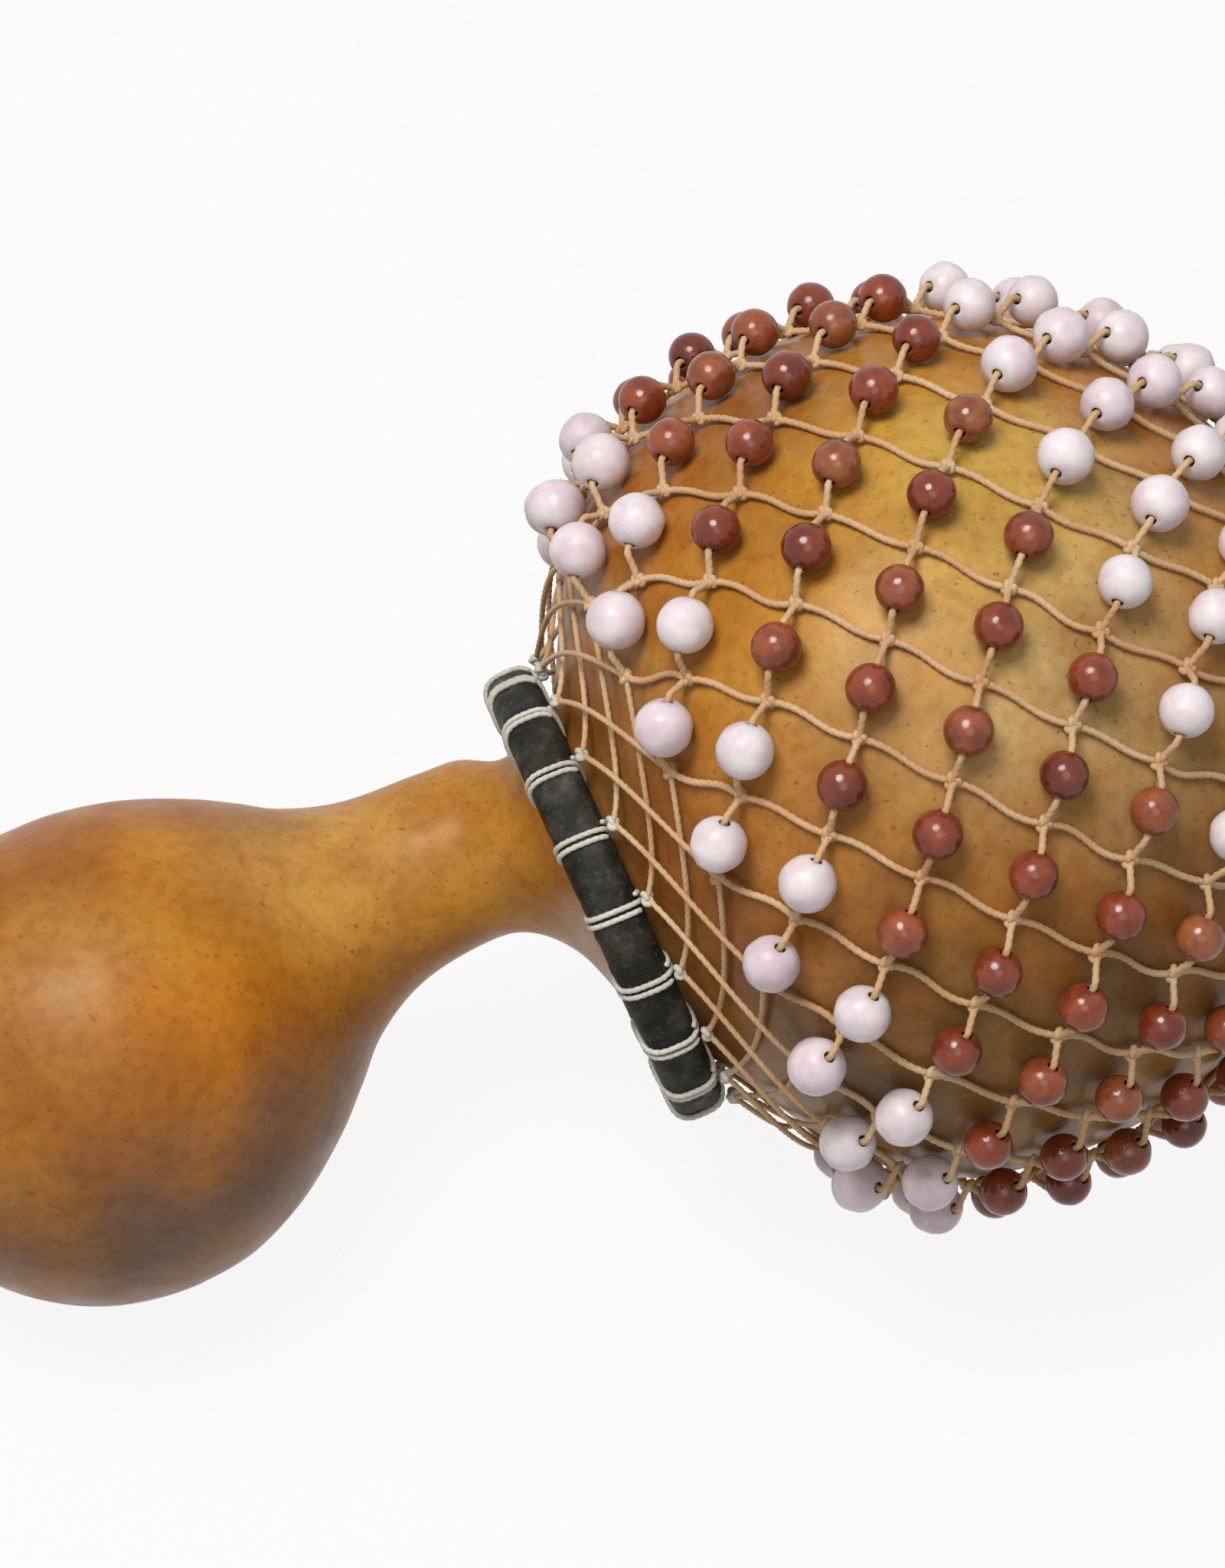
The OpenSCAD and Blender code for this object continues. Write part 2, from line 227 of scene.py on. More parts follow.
# %% Material helper
class Finish:
    """A Principled material with a few short ways to add nodes to it."""

    def __init__(self, name, **values):
        self.material = bpy.data.materials.new(name)
        self.material.use_nodes = True
        self.tree = self.material.node_tree
        self.shader = self.tree.nodes["Principled BSDF"]
        self.place = self.add("ShaderNodeTexCoord").outputs["Object"]
        for key, value in values.items():
            self.shader.inputs[key.replace("_", " ")].default_value = value

    def add(self, kind, settings=None, **inputs):
        """A new node; i0, i1 and so on name an input by its number."""
        made = self.tree.nodes.new(kind)
        for key, value in (settings or {}).items():
            setattr(made, key, value)
        for key, value in inputs.items():
            socket = int(key[1:]) if key[1:].isdigit() else key.replace("_", " ")
            self.wire(made.inputs[socket], value)
        return made

    def wire(self, socket, value):
        if isinstance(value, bpy.types.NodeSocket):
            self.tree.links.new(value, socket)
        else:
            socket.default_value = value

    def noise(self, scale, detail=3.0, stretch=None):
        where = self.place
        if stretch:
            where = self.add("ShaderNodeMapping", Vector=where, Scale=stretch).outputs[0]
        return self.add("ShaderNodeTexNoise", Vector=where, Scale=scale, Detail=detail).outputs["Fac"]

    def tone(self):
        return self.add("ShaderNodeAttribute", {"attribute_name": "tone"}).outputs["Fac"]

    def ramp(self, value, *stops):
        made = self.add("ShaderNodeValToRGB", Fac=value)
        bar = made.color_ramp.elements
        while len(bar) < len(stops):
            bar.new(0.5)
        for element, (at, colour) in zip(bar, stops):
            element.position = at
            element.color = (*colour, 1)
        return made.outputs["Color"]

    def mix(self, share, a, b, way="MIX"):
        made = self.add("ShaderNodeMix", {"data_type": "RGBA", "blend_type": way})
        for socket, value in zip((made.inputs[0], made.inputs[6], made.inputs[7]), (share, a, b)):
            self.wire(socket, (*value, 1) if isinstance(value, tuple) else value)
        return made.outputs[2]

    def maths(self, operation, *values):
        made = self.add("ShaderNodeMath", {"operation": operation})
        for socket, value in zip(made.inputs, values):
            self.wire(socket, value)
        return made.outputs[0]

    def span(self, value, low, high, start=0.0, end=1.0):
        return self.add("ShaderNodeMapRange", i0=value, i1=start, i2=end, i3=low, i4=high).outputs[0]

    def near(self, spot, reach, core):
        """1 round a spot in millimetres on the axis, falling to 0 at its reach."""
        spot_m = tuple(world(spot))
        apart = self.add("ShaderNodeVectorMath", {"operation": "DISTANCE"}, i0=self.place, i1=spot_m)
        return self.span(apart.outputs["Value"], 1.0, 0.0, reach * core * MM, reach * MM)

    def bump(self, height, distance, strength=1.0):
        made = self.add("ShaderNodeBump", Height=height, Distance=distance, Strength=strength)
        self.wire(self.shader.inputs["Normal"], made.outputs[0])

    def colour(self, value):
        self.wire(self.shader.inputs["Base Color"], value)

    def rough(self, low, high, scale, detail=3.0, start=0.3, end=0.7):
        grains = self.span(self.noise(scale, detail), low, high, start, end)
        self.wire(self.shader.inputs["Roughness"], grains)


black, white = (0, 0, 0), (1, 1, 1)
print("materials that came with the frame:", len(bpy.data.materials))

# %% [markdown]
# ## The head's curve
# The head is a ball pressed a little flat towards the neck. Its curve is a formula and
# not a list of points, because the net, the knots and the beads have to lie on it too.
# A place on it is given as on a globe, by degrees from the far pole and round it.

# %% Curve of the head
def mix(a, b, t):
    return a + (b - a) * t


def smooth(t):
    c = np.clip(t, 0, 1)
    return c * c * (3 - 2 * c)


def head_at(deg):
    return head_r * (1 - flat_share * smooth((deg - flat_from_deg) / (shoulder_deg - flat_from_deg)))


def lean(deg):
    return (head_at(deg + 1) - head_at(deg - 1)) / (2 * head_at(deg)) * 180 / math.pi


def on_head(deg, turn, height=0.0):
    """A place on the head: degrees from its far pole, degrees round it, mm above it."""
    rho = head_at(deg) + height * math.sqrt(1 + lean(deg) ** 2)
    d, t = math.radians(deg), math.radians(turn)
    u = head_u + rho * math.cos(d)
    return np.array([u, -rho * math.sin(d) * math.sin(t), rho * math.sin(d) * math.cos(t)])


def head_station(deg):
    u = head_u + head_at(deg) * math.cos(math.radians(deg))
    return [u, head_at(deg) * math.sin(math.radians(deg)), 0]


print("head radius at the far pole and at the shoulder, mm:",
      round(float(head_at(0)), 1), round(float(head_at(shoulder_deg)), 1))

# %% [markdown]
# ## The gourd
# A bottle gourd grows as one skin: a round head, a waist and a bulb that serves as the
# handle. It could be sculpted, but rings along the axis keep it on its solid. Each
# station gives a place, a radius and how far the ring leans to one side, and a smooth
# curve runs through the stations.

# %% Rings of the gourd
neck_r, neck_away, bulb_r, bulb_away, bulb_side = 16.8, 22.0, 44.5, 95.0, 13.0
neck_back_share, seat_away = 1.21, 2.6
handle_shares = [(0, 1), (0.151, 0.968), (0.315, 0.828), (0.466, 0.599),
                 (0.562, 0.409), (0.658, 0.211), (0.808, 0.05), (1, 0)]
seat_shares = [(0.309, 0.04, 1.175), (0.553, 0.151, 1.038), (0.703, 0.48, 0.988),
               (0.829, 0.836, 0.981), (0.927, 0.921, 0.981), (1, 1, 1)]
cap_rings, curve_steps, head_rings = 28, 10, 90
cap_from, head_to_deg, guide_deg = 0.002, 0.1, 180 / 25


def spline(a, b, c, d, t):
    return (2 * b + (c - a) * t + (2 * a - 5 * b + 4 * c - d) * t**2 + (3 * b - a - 3 * c + d) * t**3) / 2


def gourd_stations():
    stations = []
    for at, share in handle_shares:
        r = mix(neck_r, bulb_r, share)
        lean_aside = mix(seat_r * neck_back_share, bulb_side + bulb_r, share) - r
        stations.append([mix(-bulb_away, -neck_away, at), r, lean_aside])
    for at, share, back_share in seat_shares:
        r = mix(neck_r, seat_r, share)
        stations.append([mix(-neck_away, seat_away, at), r, seat_r * back_share - r])
    stations += [head_station(shoulder_deg), head_station(shoulder_deg - guide_deg)]
    return np.array(stations)


def gourd_rings():
    stations = gourd_stations()
    rings = [[-bulb_away - bulb_r * math.cos(a), bulb_r * math.sin(a), bulb_side]
             for a in np.linspace(cap_from, math.pi / 2, cap_rings, endpoint=False)]
    for i in range(len(stations) - 3):
        four = [stations[max(0, i - 1)], stations[i], stations[i + 1], stations[i + 2]]
        rings += [spline(*four, j / curve_steps) for j in range(curve_steps)]
    rings += [head_station(deg) for deg in np.linspace(shoulder_deg, head_to_deg, head_rings)]
    return np.array(rings)


rings = gourd_rings()
print("gourd rings:", len(rings), "length, mm:", round(rings[-1][0] - rings[0][0], 1))

# %% [markdown]
# Fruit is never quite true. The handle therefore dips in by up to half a millimetre,
# in broad and finer waves of noise, while the head stays true because the net turns
# on it. The dips fade out between the waist and the collar.

# %% Dips of the handle
gourd_sides, dip = 200, 0.5
broad_wave, broad_share, fine_wave, fine_share = 34, 0.5, 11, 0.25

angles = np.linspace(0, 2 * math.pi, gourd_sides, endpoint=False)
gourd_grid = np.stack([
    np.repeat(rings[:, :1], gourd_sides, 1),
    rings[:, 2:] + rings[:, 1:2] * np.cos(angles),
    rings[:, 1:2] * np.sin(angles),
], -1)
for k, (u, r, shift) in enumerate(rings):
    depth = dip * float(1 - smooth((u + neck_away) / neck_away))
    if depth > 0:
        for s, angle in enumerate(angles):
            p = Vector(gourd_grid[k, s])
            waves = 0.5 + broad_share * noise.noise(p / broad_wave) + fine_share * noise.noise(p / fine_wave)
            pull = depth * min(1, max(0, waves))
            gourd_grid[k, s, 1] -= pull * math.cos(angle)
            gourd_grid[k, s, 2] -= pull * math.sin(angle)
print("points of the gourd:", gourd_grid.shape[0] * gourd_grid.shape[1])

# %% [markdown]
# ## The gourd's skin
# The skin is amber and polished. Under everything lie broad clouds, from gold to
# brown, made of one noise through a ramp. It mirrors only weakly and with a warm tint,
# so that a white room doesn't wash the amber out.

# %% Clouds of the skin
skin = Finish("gourd_skin", Specular_IOR_Level=0.2, Specular_Tint=(1.0, 0.82, 0.55, 1.0))
base = skin.ramp(skin.noise(13, 4.0), (0.34, (0.33, 0.105, 0.010)), (0.46, (0.44, 0.165, 0.014)),
                 (0.58, (0.51, 0.220, 0.020)), (0.70, (0.56, 0.285, 0.036)))
skin.rough(0.29, 0.40, 150)
print("stops in the skin's ramp:", len(base.node.color_ramp.elements))

# %% [markdown]
# Mould stains a gourd while it dries, and no two are alike. Not all of these are stains:
# the dark browns on the flanks and underside of the head and the bulb, where the light
# from above falls off, are painted shade; the grey along the bulb's lower rim is painted
# shade with a painted reflection of the pale floor; and the pale spots on top of the head
# and the bulb, with the gold band along the top of the neck, are painted highlights. Each
# is given as a place, how far it reaches in millimetres, a colour and a strength. A second
# noise breaks all of them up, so that none shows a round edge.

# %% Stains and painted shade, highlights and reflection
olive, gold = (0.31, 0.19, 0.072), (0.54, 0.34, 0.055)
# The second colour here is a painted highlight; the first is the skin's own.
ochre, painted_highlight_beige = (0.45, 0.27, 0.09), (0.50, 0.39, 0.17)
burnt, rust = (0.43, 0.125, 0.018), (0.26, 0.09, 0.018)
# The second colour here is a painted highlight along the neck's top; the first is the skin's own.
amber, painted_highlight_honey = (0.60, 0.225, 0.012), (0.62, 0.36, 0.10)
# The second colour here is painted shade with a painted grey reflection of the pale floor; the first is the
# skin's own.
orange, painted_rim_reflection_grey = (0.50, 0.145, 0.005), (0.17, 0.105, 0.075)
# Both colours here are painted shade, where the light from above falls off.
painted_shade_umber, painted_shade_dark = (0.135, 0.085, 0.042), (0.085, 0.072, 0.048)
# This colour is painted shade, where the light from above falls off.
painted_shade_brown = (0.19, 0.085, 0.028)

head_stains_and_painted_light = [
    ([head_u, 0, 0], 88, olive, 0.42),
    (on_head(80, -3), 40, gold, 0.6),
    (on_head(106, 34), 26, ochre, 0.5),
    (on_head(69, 52), 42, olive, 0.5),
    (on_head(125, 47), 36, burnt, 0.45),
    (on_head(108, -15), 30, burnt, 0.35),
    # painted shade on the head's flank, where the light from above falls off
    (on_head(101, 86), 70, painted_shade_umber, 0.85),
    # painted shade under the head
    (on_head(112, 150), 60, painted_shade_brown, 0.5),
    (on_head(70, 200), 50, burnt, 0.4),
    # painted highlight: a pale spot on the top of the head
    (on_head(68, 27), 50, painted_highlight_beige, 0.95),
    (on_head(74, 9), 28, gold, 0.7),
    (on_head(92, -20), 36, rust, 0.85),
    # painted shade on the head's flank, where the light from above falls off
    (on_head(110, 92), 48, painted_shade_dark, 0.8),
]
handle_stains_and_painted_light = [
    # painted highlight: a pale spot on the top of the bulb
    ([-94, -5, 42], 30, painted_highlight_beige, 0.85),
    ([-75, -10, 34], 46, amber, 0.6),
    ([-66, -16, 22], 22, burnt, 0.5),
    ([-79, 12, 42], 30, rust, 0.65),
    ([-104, -17, 30], 36, orange, 0.75),
    ([-86, -26, 22], 34, orange, 0.7),
    ([-70, -18, 18], 28, orange, 0.6),
    ([-98, 14, 44], 30, rust, 0.4),
    # painted highlight: gold along the top of the neck
    ([-57, 21, 15], 30, painted_highlight_honey, 0.85),
    # painted shade on the bulb's lower flanks
    ([-113, -22, 19], 42, painted_shade_brown, 0.8),
    ([-84, -30, 0], 46, painted_shade_brown, 0.85),
    # painted shade and reflection: grey from the pale floor along the bulb's dark lower rim
    ([-61, -19, 1], 24, painted_rim_reflection_grey, 0.8),
    ([-77, -31, -1], 27, painted_rim_reflection_grey, 0.9),
    ([-97, -35, 1], 30, painted_rim_reflection_grey, 0.85),
    ([-114, -31, 2], 30, painted_rim_reflection_grey, 0.7),
    ([-30, 16, 17], 24, ochre, 0.55),
    # painted highlight: gold along the top of the neck
    ([-44, 14, 14], 22, painted_highlight_honey, 0.6),
    ([-100, 30, -38], 40, gold, 0.5),
]
wide_reach, wide_core, soft_core = 80, 0.8, 0.1

broken = skin.span(skin.noise(45, 5.0), 0.45, 1.0, 0.38, 0.6)
for spot, reach, colour, strength in head_stains_and_painted_light + handle_stains_and_painted_light:
    core = soft_core if reach < wide_reach else wide_core
    mask = skin.maths("MULTIPLY", skin.near(spot, reach, core), broken)
    base = skin.mix(skin.maths("MULTIPLY", mask, strength), base, colour)
print("stains on the head and the handle:", len(head_stains_and_painted_light), len(handle_stains_and_painted_light))

# %% [markdown]
# Nearer to the eye the skin has patches, streaks that run along the fruit, and a fine
# grain. They only darken, so they are multiplied in. Over them go two sizes of dark
# speckle, from the tips of a very fine noise.

# %% Grain and speckle
darkeners = [
    (0.5, skin.noise(52, 6.0), (0.40, (0.68, 0.58, 0.50)), 0.60),
    (0.4, skin.noise(90, 3.0, (0.25, 1, 1)), (0.40, (0.80, 0.74, 0.68)), 0.62),
    (0.42, skin.noise(420, 5.0), (0.36, (0.70, 0.60, 0.52)), 0.56),
]
for share, grains, dark, clear_from in darkeners:
    base = skin.mix(share, base, skin.ramp(grains, dark, (clear_from, white)), "MULTIPLY")

for scale, full, none, most, colour in ((900, 0.27, 0.36, 0.6, (0.15, 0.050, 0.014)),
                                        (300, 0.22, 0.31, 0.55, (0.22, 0.075, 0.016))):
    speckle = skin.ramp(skin.noise(scale, 2.0), (full, white), (none, black))
    base = skin.mix(skin.span(speckle, 0.0, most), base, colour)
print("layers of grain:", len(darkeners))

# %% [markdown]
# Two scars are left on any gourd, where the stem sat and where the flower fell. Each is
# a corky disc with a dark, raised rim, so the same two fading circles give its colours
# and, taken from each other, its rim for the bump.

# %% Scars, and the gourd itself
flower_scar, stem_scar = [head_u + head_r, 0, 0], [-bulb_away - bulb_r, bulb_side, 0]
cork_share, rim_share, rim_height = 0.75, 0.75, 5.0

cork = skin.ramp(skin.noise(800, 4.0), (0.40, (0.24, 0.100, 0.026)), (0.60, (0.42, 0.215, 0.075)))
height = skin.noise(700, 3.0)
for spot, reach in ((flower_scar, 6), (stem_scar, 8)):
    outer, inner = skin.near(spot, reach, 0.8), skin.near(spot, reach * cork_share, 0.7)
    base = skin.mix(skin.maths("MULTIPLY", outer, rim_share), base, (0.13, 0.055, 0.018))
    base = skin.mix(inner, base, cork)
    height = skin.maths("MULTIPLY_ADD", skin.maths("SUBTRACT", outer, inner), rim_height, height)
skin.colour(base)
skin.bump(height, 0.00012, 0.35)

pile = Pile()
pile.add(gourd_grid)
gourd = place("gourd_skin", pile, skin.material, "gourd_shell", "gourd")
print("gourd faces:", len(gourd.data.polygons))

# %% [markdown]
# ## Where the net lies
# The net is worked round and round like a fishing net: nineteen meshes to a round, each
# round half a mesh on from the last. The places of its knots and beads follow from the
# head's own curve and the thickness of cord, knot and bead.

# %% Places of knots and beads
net_count, knot_d, bead_hole_d, cord_d = 19, 2.8, 1.9, 1.2
white_d, red_d, first_white_rows, red_rows = 10.0, 8.5, 2, 5
net_phase_deg, net_start_deg, net_end_deg = 13.7, 127.0, 26.0
row_steps = [9.3, 8.8, 8.3, 8.1, 8, 8.2, 8.5, 9.2, 10, 10.9, 11.6]
net_rows = len(row_steps)
row_places = np.concatenate([[0], np.cumsum(row_steps)]) / sum(row_steps)
step_deg = 360 / net_count
seat_air = 0.3
head_middle = [head_u, 0, 0]


def outward(p):
    return unit(np.asarray(p, float) - head_middle)


def knot_deg(row):
    return mix(net_start_deg, net_end_deg, row_places[row - 1])


def knot_at(row, i):
    return on_head(knot_deg(row), net_phase_deg + (i + row / 2) * step_deg, seat_air + knot_d / 2)


def is_red(row):
    return first_white_rows < row <= first_white_rows + red_rows


def bead_d(row):
    return red_d if is_red(row) else white_d


def bead_at(row, i):
    deg = (knot_deg(row) + knot_deg(row + 1)) / 2
    return on_head(deg, net_phase_deg + (i + row / 2 - 1 / 4) * step_deg, seat_air + bead_d(row) / 2)


print("first knot row from the pole:", knot_deg(1), "leg, mm:",
      round(float(np.linalg.norm(knot_at(6, 1) - knot_at(5, 1))), 1))

# %% [markdown]
# ## Twisted cord
# The net's cord is two plies laid together. Its section is therefore not round but has
# two lobes that turn as it runs, which catches the light in fine slants. The route is
# smoothed, cut into short even steps, and a lobed ring is set at each. A curve with a
# round bevel would be simpler, but it would look like wire.

# %% Cord along a route
spline_steps, ply_waist = 12, 0.74


def smooth_route(route, step):
    route = np.asarray(route, float)
    padded = np.concatenate([[2 * route[0] - route[1]], route, [2 * route[-1] - route[-2]]])
    t = np.linspace(0, 1, spline_steps, endpoint=False)[:, None]
    dense = np.concatenate([spline(*padded[i:i + 4], t) for i in range(len(route) - 1)] + [route[-1:]])
    run = np.concatenate([[0], np.cumsum(np.linalg.norm(np.diff(dense, axis=0), axis=1))])
    where = np.linspace(0, run[-1], max(3, int(round(run[-1] / step)) + 1))
    return np.stack([np.interp(where, run, dense[:, k]) for k in range(3)], 1), where


def cord_grid(route, centre, r, pitch=3.0, sides=10, step=0.42, start=0.0, blunt=0.75):
    """A two-ply cord along a route; centre is what its outer side looks away from."""
    points, run = smooth_route(route, step)
    way = unit(np.gradient(points, axis=0))
    x = unit(np.cross(points - centre, way))
    y = np.cross(way, x)
    a = np.linspace(0, 2 * math.pi, sides, endpoint=False)
    twist = start + 2 * math.pi * run[:, None] / pitch
    reach = r * (ply_waist + (1 - ply_waist) * np.abs(np.cos(a - twist)))
    reach[0] *= blunt
    reach[-1] *= blunt
    section = x[:, None] * np.cos(a)[:, None] + y[:, None] * np.sin(a)[:, None]
    return points[:, None] + reach[..., None] * section


sample = cord_grid([[0, 0, 0], [15, 2, 0], [30, 0, 0]], [0, 50, 0], cord_d / 2)
print("a 30 mm cord has", sample.shape[0], "rings of", sample.shape[1], "points")

# %% [markdown]
# An overhand knot drawn tight is a trefoil: three lobes of cord that go over and under
# one another. Its formula is short, and squeezing it gives the lie of each knot.

# %% Knot
def knot_grid(centre, way, out, size, r, lie=1.0, sides=8, knot_rings=44):
    """An overhand knot drawn tight: three lobes of cord that cover one another."""
    t = np.linspace(0, 2 * math.pi, knot_rings, endpoint=False)
    z = unit(out)
    x = unit(way - np.dot(way, z) * z)
    y = np.cross(z, x)
    reach = (size / 2 - r) / 3
    curve = (x * ((np.sin(t) + 2 * np.sin(2 * t)) * reach * lie)[:, None]
             + y * ((np.cos(t) - 2 * np.cos(2 * t)) * reach)[:, None]
             - z * (np.sin(3 * t) * r * 0.75)[:, None])
    curve = curve + centre
    run = unit(np.roll(curve, -1, 0) - np.roll(curve, 1, 0))
    u = unit(np.cross(run, z))
    w = np.cross(run, u)
    a = np.linspace(0, 2 * math.pi, sides, endpoint=False)
    return curve[:, None] + r * (u[:, None] * np.cos(a)[:, None] + w[:, None] * np.sin(a)[:, None])


sample = knot_grid(np.zeros(3), np.array([1, 0, 0]), np.array([0, 0, 1]), knot_d, cord_d / 2)
print("a knot is", np.ptp(sample.reshape(-1, 3), axis=0).round(1), "mm")

# %% [markdown]
# Waxed cotton yellows where hands and polish reach it, so its cream goes towards peach
# in soft patches. The cord on the collar is a cleaner off-white. A very fine noise
# stands for the fibres, and a little sheen for the fluff on them.

# %% Cord finishes
def cord_finish(name, pale, deep, shade):
    made = Finish(name, Roughness=0.72, Specular_IOR_Level=0.3, Sheen_Weight=0.15, Sheen_Roughness=0.5)
    tint = made.ramp(made.noise(60, 3.0), (0.38, deep), (0.62, pale))
    fibre = made.ramp(made.noise(1900, 2.0), (0.35, shade), (0.6, white))
    made.colour(made.mix(0.6, tint, fibre, "MULTIPLY"))
    made.bump(made.noise(3200, 2.0), 0.00008, 0.5)
    return made.material


net_finish = cord_finish("net_cord", (0.575, 0.395, 0.215), (0.51, 0.29, 0.13), (0.80, 0.75, 0.68))
hitch_finish = cord_finish("white_cord", (0.60, 0.58, 0.50), (0.47, 0.46, 0.38), (0.72, 0.71, 0.66))
print("cord finishes:", net_finish.name, hitch_finish.name)

# %% [markdown]
# ## The collar
# The net hangs from a ring that slips over the handle: a hoop inside a dark rubber
# sleeve. The hitches pull it nearly straight between them, so it reads as a ring of
# short flats, and each hitch bites a little into the sleeve. A plain torus would miss
# both, so the sleeve's rings are worked out one by one.

# %% Collar sleeve
collar_section_r, sleeve_air, collar_air, hitch_cord_d = 4.8, 0.1, 0.35, 1.1
hitch_turns, solid_points = 2, 23
wrap_r = collar_section_r + sleeve_air + hitch_cord_d / 2
corner_r = wrap_r / math.cos(math.pi * hitch_turns / (solid_points - 1))
wrap_reach = corner_r + hitch_cord_d / 2
collar_line_r = seat_r + collar_air + wrap_reach
hitch_turn = [net_phase_deg + (i + 0.5) * step_deg for i in range(net_count)]

per_flat, section_points = 14, 40
flat_drop, bite, bite_deg, fullness, squareness = 0.4, 0.3, 1.7, 0.25, 0.06
rough_share, rough_run, rough_round = 0.05, 0.35, 3


def round_head(u, r, turn):
    t = math.radians(turn)
    return np.array([u, -r * math.sin(t), r * math.cos(t)])


def squared(a):
    return 1 - squareness * math.cos(4 * a)


sleeve = []
for k in range(net_count * per_flat):
    turn = hitch_turn[0] + step_deg * k / per_flat
    off = abs((k / per_flat) % 1 - 0.5) * 2
    line = collar_line_r - flat_drop * (1 - off * off)
    bitten = bite * math.exp(-((1 - off) * step_deg / 2 / bite_deg) ** 2)
    ring = []
    for a in np.linspace(0, 2 * math.pi, section_points, endpoint=False):
        bumps = noise.noise(Vector((turn * rough_run, rough_round * math.cos(a), rough_round * math.sin(a))))
        r = (collar_section_r + fullness - bitten) * squared(a) * (1 + rough_share * bumps)
        ring.append(round_head(r * math.sin(a), line + r * math.cos(a), turn))
    sleeve.append(ring)
print("collar line radius, mm:", round(collar_line_r, 2))

# %% [markdown]
# The sleeve is old rubber: nearly black, mottled, with a little dust in its grain. Under
# it the hoop is a rope, which keeps its solid and only gets a finish of fibres.

# %% Rubber and rope
rubber = Finish("black_rubber", Specular_IOR_Level=0.15)
mottle = rubber.ramp(rubber.noise(210, 5.0), (0.36, (0.008, 0.0075, 0.005)),
                     (0.55, (0.018, 0.017, 0.0115)), (0.72, (0.050, 0.046, 0.034)))
dust = rubber.ramp(rubber.noise(900, 3.0), (0.56, black), (0.68, white))
rubber.colour(rubber.mix(rubber.span(dust, 0.0, 0.16), mottle, (0.15, 0.14, 0.115)))
rubber.rough(0.46, 0.74, 320)
rubber.bump(rubber.noise(800, 4.0), 0.0002, 0.5)

pile = Pile()
pile.add(np.array(sleeve), looped=True)
place("collar_sleeve_skin", pile, rubber.material, "collar_sleeve", "collar")

rope = Finish("rope", Roughness=0.85)
rope.colour(rope.ramp(rope.noise(500, 4.0), (0.4, (0.10, 0.08, 0.05)), (0.6, (0.17, 0.14, 0.10))))
rope.bump(rope.noise(1500, 3.0), 0.0003, 0.6)
frame["nodes"]["collar_core"].material_slots[0].material = rope.material
print("rings in the sleeve:", len(sleeve))

# %% [markdown]
# ## Hitches
# Each mesh of the net hangs from the collar by two turns of cord side by side, drawn
# tight and finished with a small knot on the head's side. The turns follow the route of
# their solid, twice round the ring's section, with the ends under the knot.

# %% Hitches and their knots
hitch_knot_deg, hitch_knot_d, hitch_points = 52.0, 2.6, 61
hitch_cord_r, hitch_sink, hitch_pitch, pair_step, skew_most = 0.52, 0.08, 2.6, 1.45, 0.16
tied_size, tied_cord_r, tied_lie = 3.0, 0.55, 1.15
hitch_knot_away = wrap_reach + sleeve_air + hitch_knot_d / 2
hitch_knot_u = hitch_knot_away * math.sin(math.radians(hitch_knot_deg))
hitch_knot_r = collar_line_r + hitch_knot_away * math.cos(math.radians(hitch_knot_deg))
twist_most = 6
dice = random.Random(19)


def hitch_route(turn, across, skew):
    route = []
    for share in np.linspace(0, 1, hitch_points):
        a = math.radians(hitch_knot_deg - 360 * hitch_turns * share)
        shift = pair_step * hitch_turns * (share - 0.5) + skew * math.cos(a)
        r = (collar_section_r + fullness - bite) * squared(a) + hitch_cord_r - hitch_sink
        route.append(round_head(r * math.sin(a), collar_line_r + r * math.cos(a), turn) + shift * across)
    return route


wraps, knots = Pile(), Pile()
for turn in hitch_turn:
    t = math.radians(turn)
    across = np.array([0, math.cos(t), math.sin(t)])
    route = hitch_route(turn, across, dice.uniform(-skew_most, skew_most))
    tone = dice.random()
    wraps.add(cord_grid(route, round_head(0, collar_line_r, turn), hitch_cord_r, pitch=hitch_pitch,
                        start=dice.uniform(0, twist_most)), tone)
    knots.add(knot_grid(round_head(hitch_knot_u, hitch_knot_r, turn), across,
                        round_head(hitch_knot_u, hitch_knot_r - collar_line_r, turn),
                        tied_size, tied_cord_r, tied_lie), tone, looped=True)
place("hitch_wraps", wraps, hitch_finish, "collar_hitches", "collar")
place("hitch_knot_forms", knots, hitch_finish, "hitch_knots", "collar")
print("hitches:", net_count)

# %% [markdown]
# ## Neck strands
# From every hitch two long slack cords cross their neighbours over the shoulder and end
# in the net's first knots, two meshes away to either side. They join the collar to the
# net, and ride on neither body.

# %% Neck strands
strand_reach, strand_air, strand_lift, strand_ease = 2, 0.5, 2.1, 6
strand_cord_r, strand_pitch, strand_points = 0.54, 3.2, 15
hitch_head_deg = math.degrees(math.atan2(hitch_knot_r, hitch_knot_u - head_u))
hitch_rho = math.hypot(hitch_knot_r, hitch_knot_u - head_u)
hitch_height = (hitch_rho - head_at(hitch_head_deg)) / math.sqrt(1 + lean(hitch_head_deg) ** 2)
under_layer = strand_air + cord_d / 2


def strand_route(i, way, middle):
    route = []
    for t in np.linspace(0, 1, strand_points):
        a, b = (1 - t) ** strand_ease, t**strand_ease
        height = a * hitch_height + b * (seat_air + knot_d / 2) + (1 - a - b) * middle
        turn = hitch_turn[i] + way * strand_reach * step_deg * t
        route.append(on_head(mix(hitch_head_deg, net_start_deg, t), turn, height))
    return route


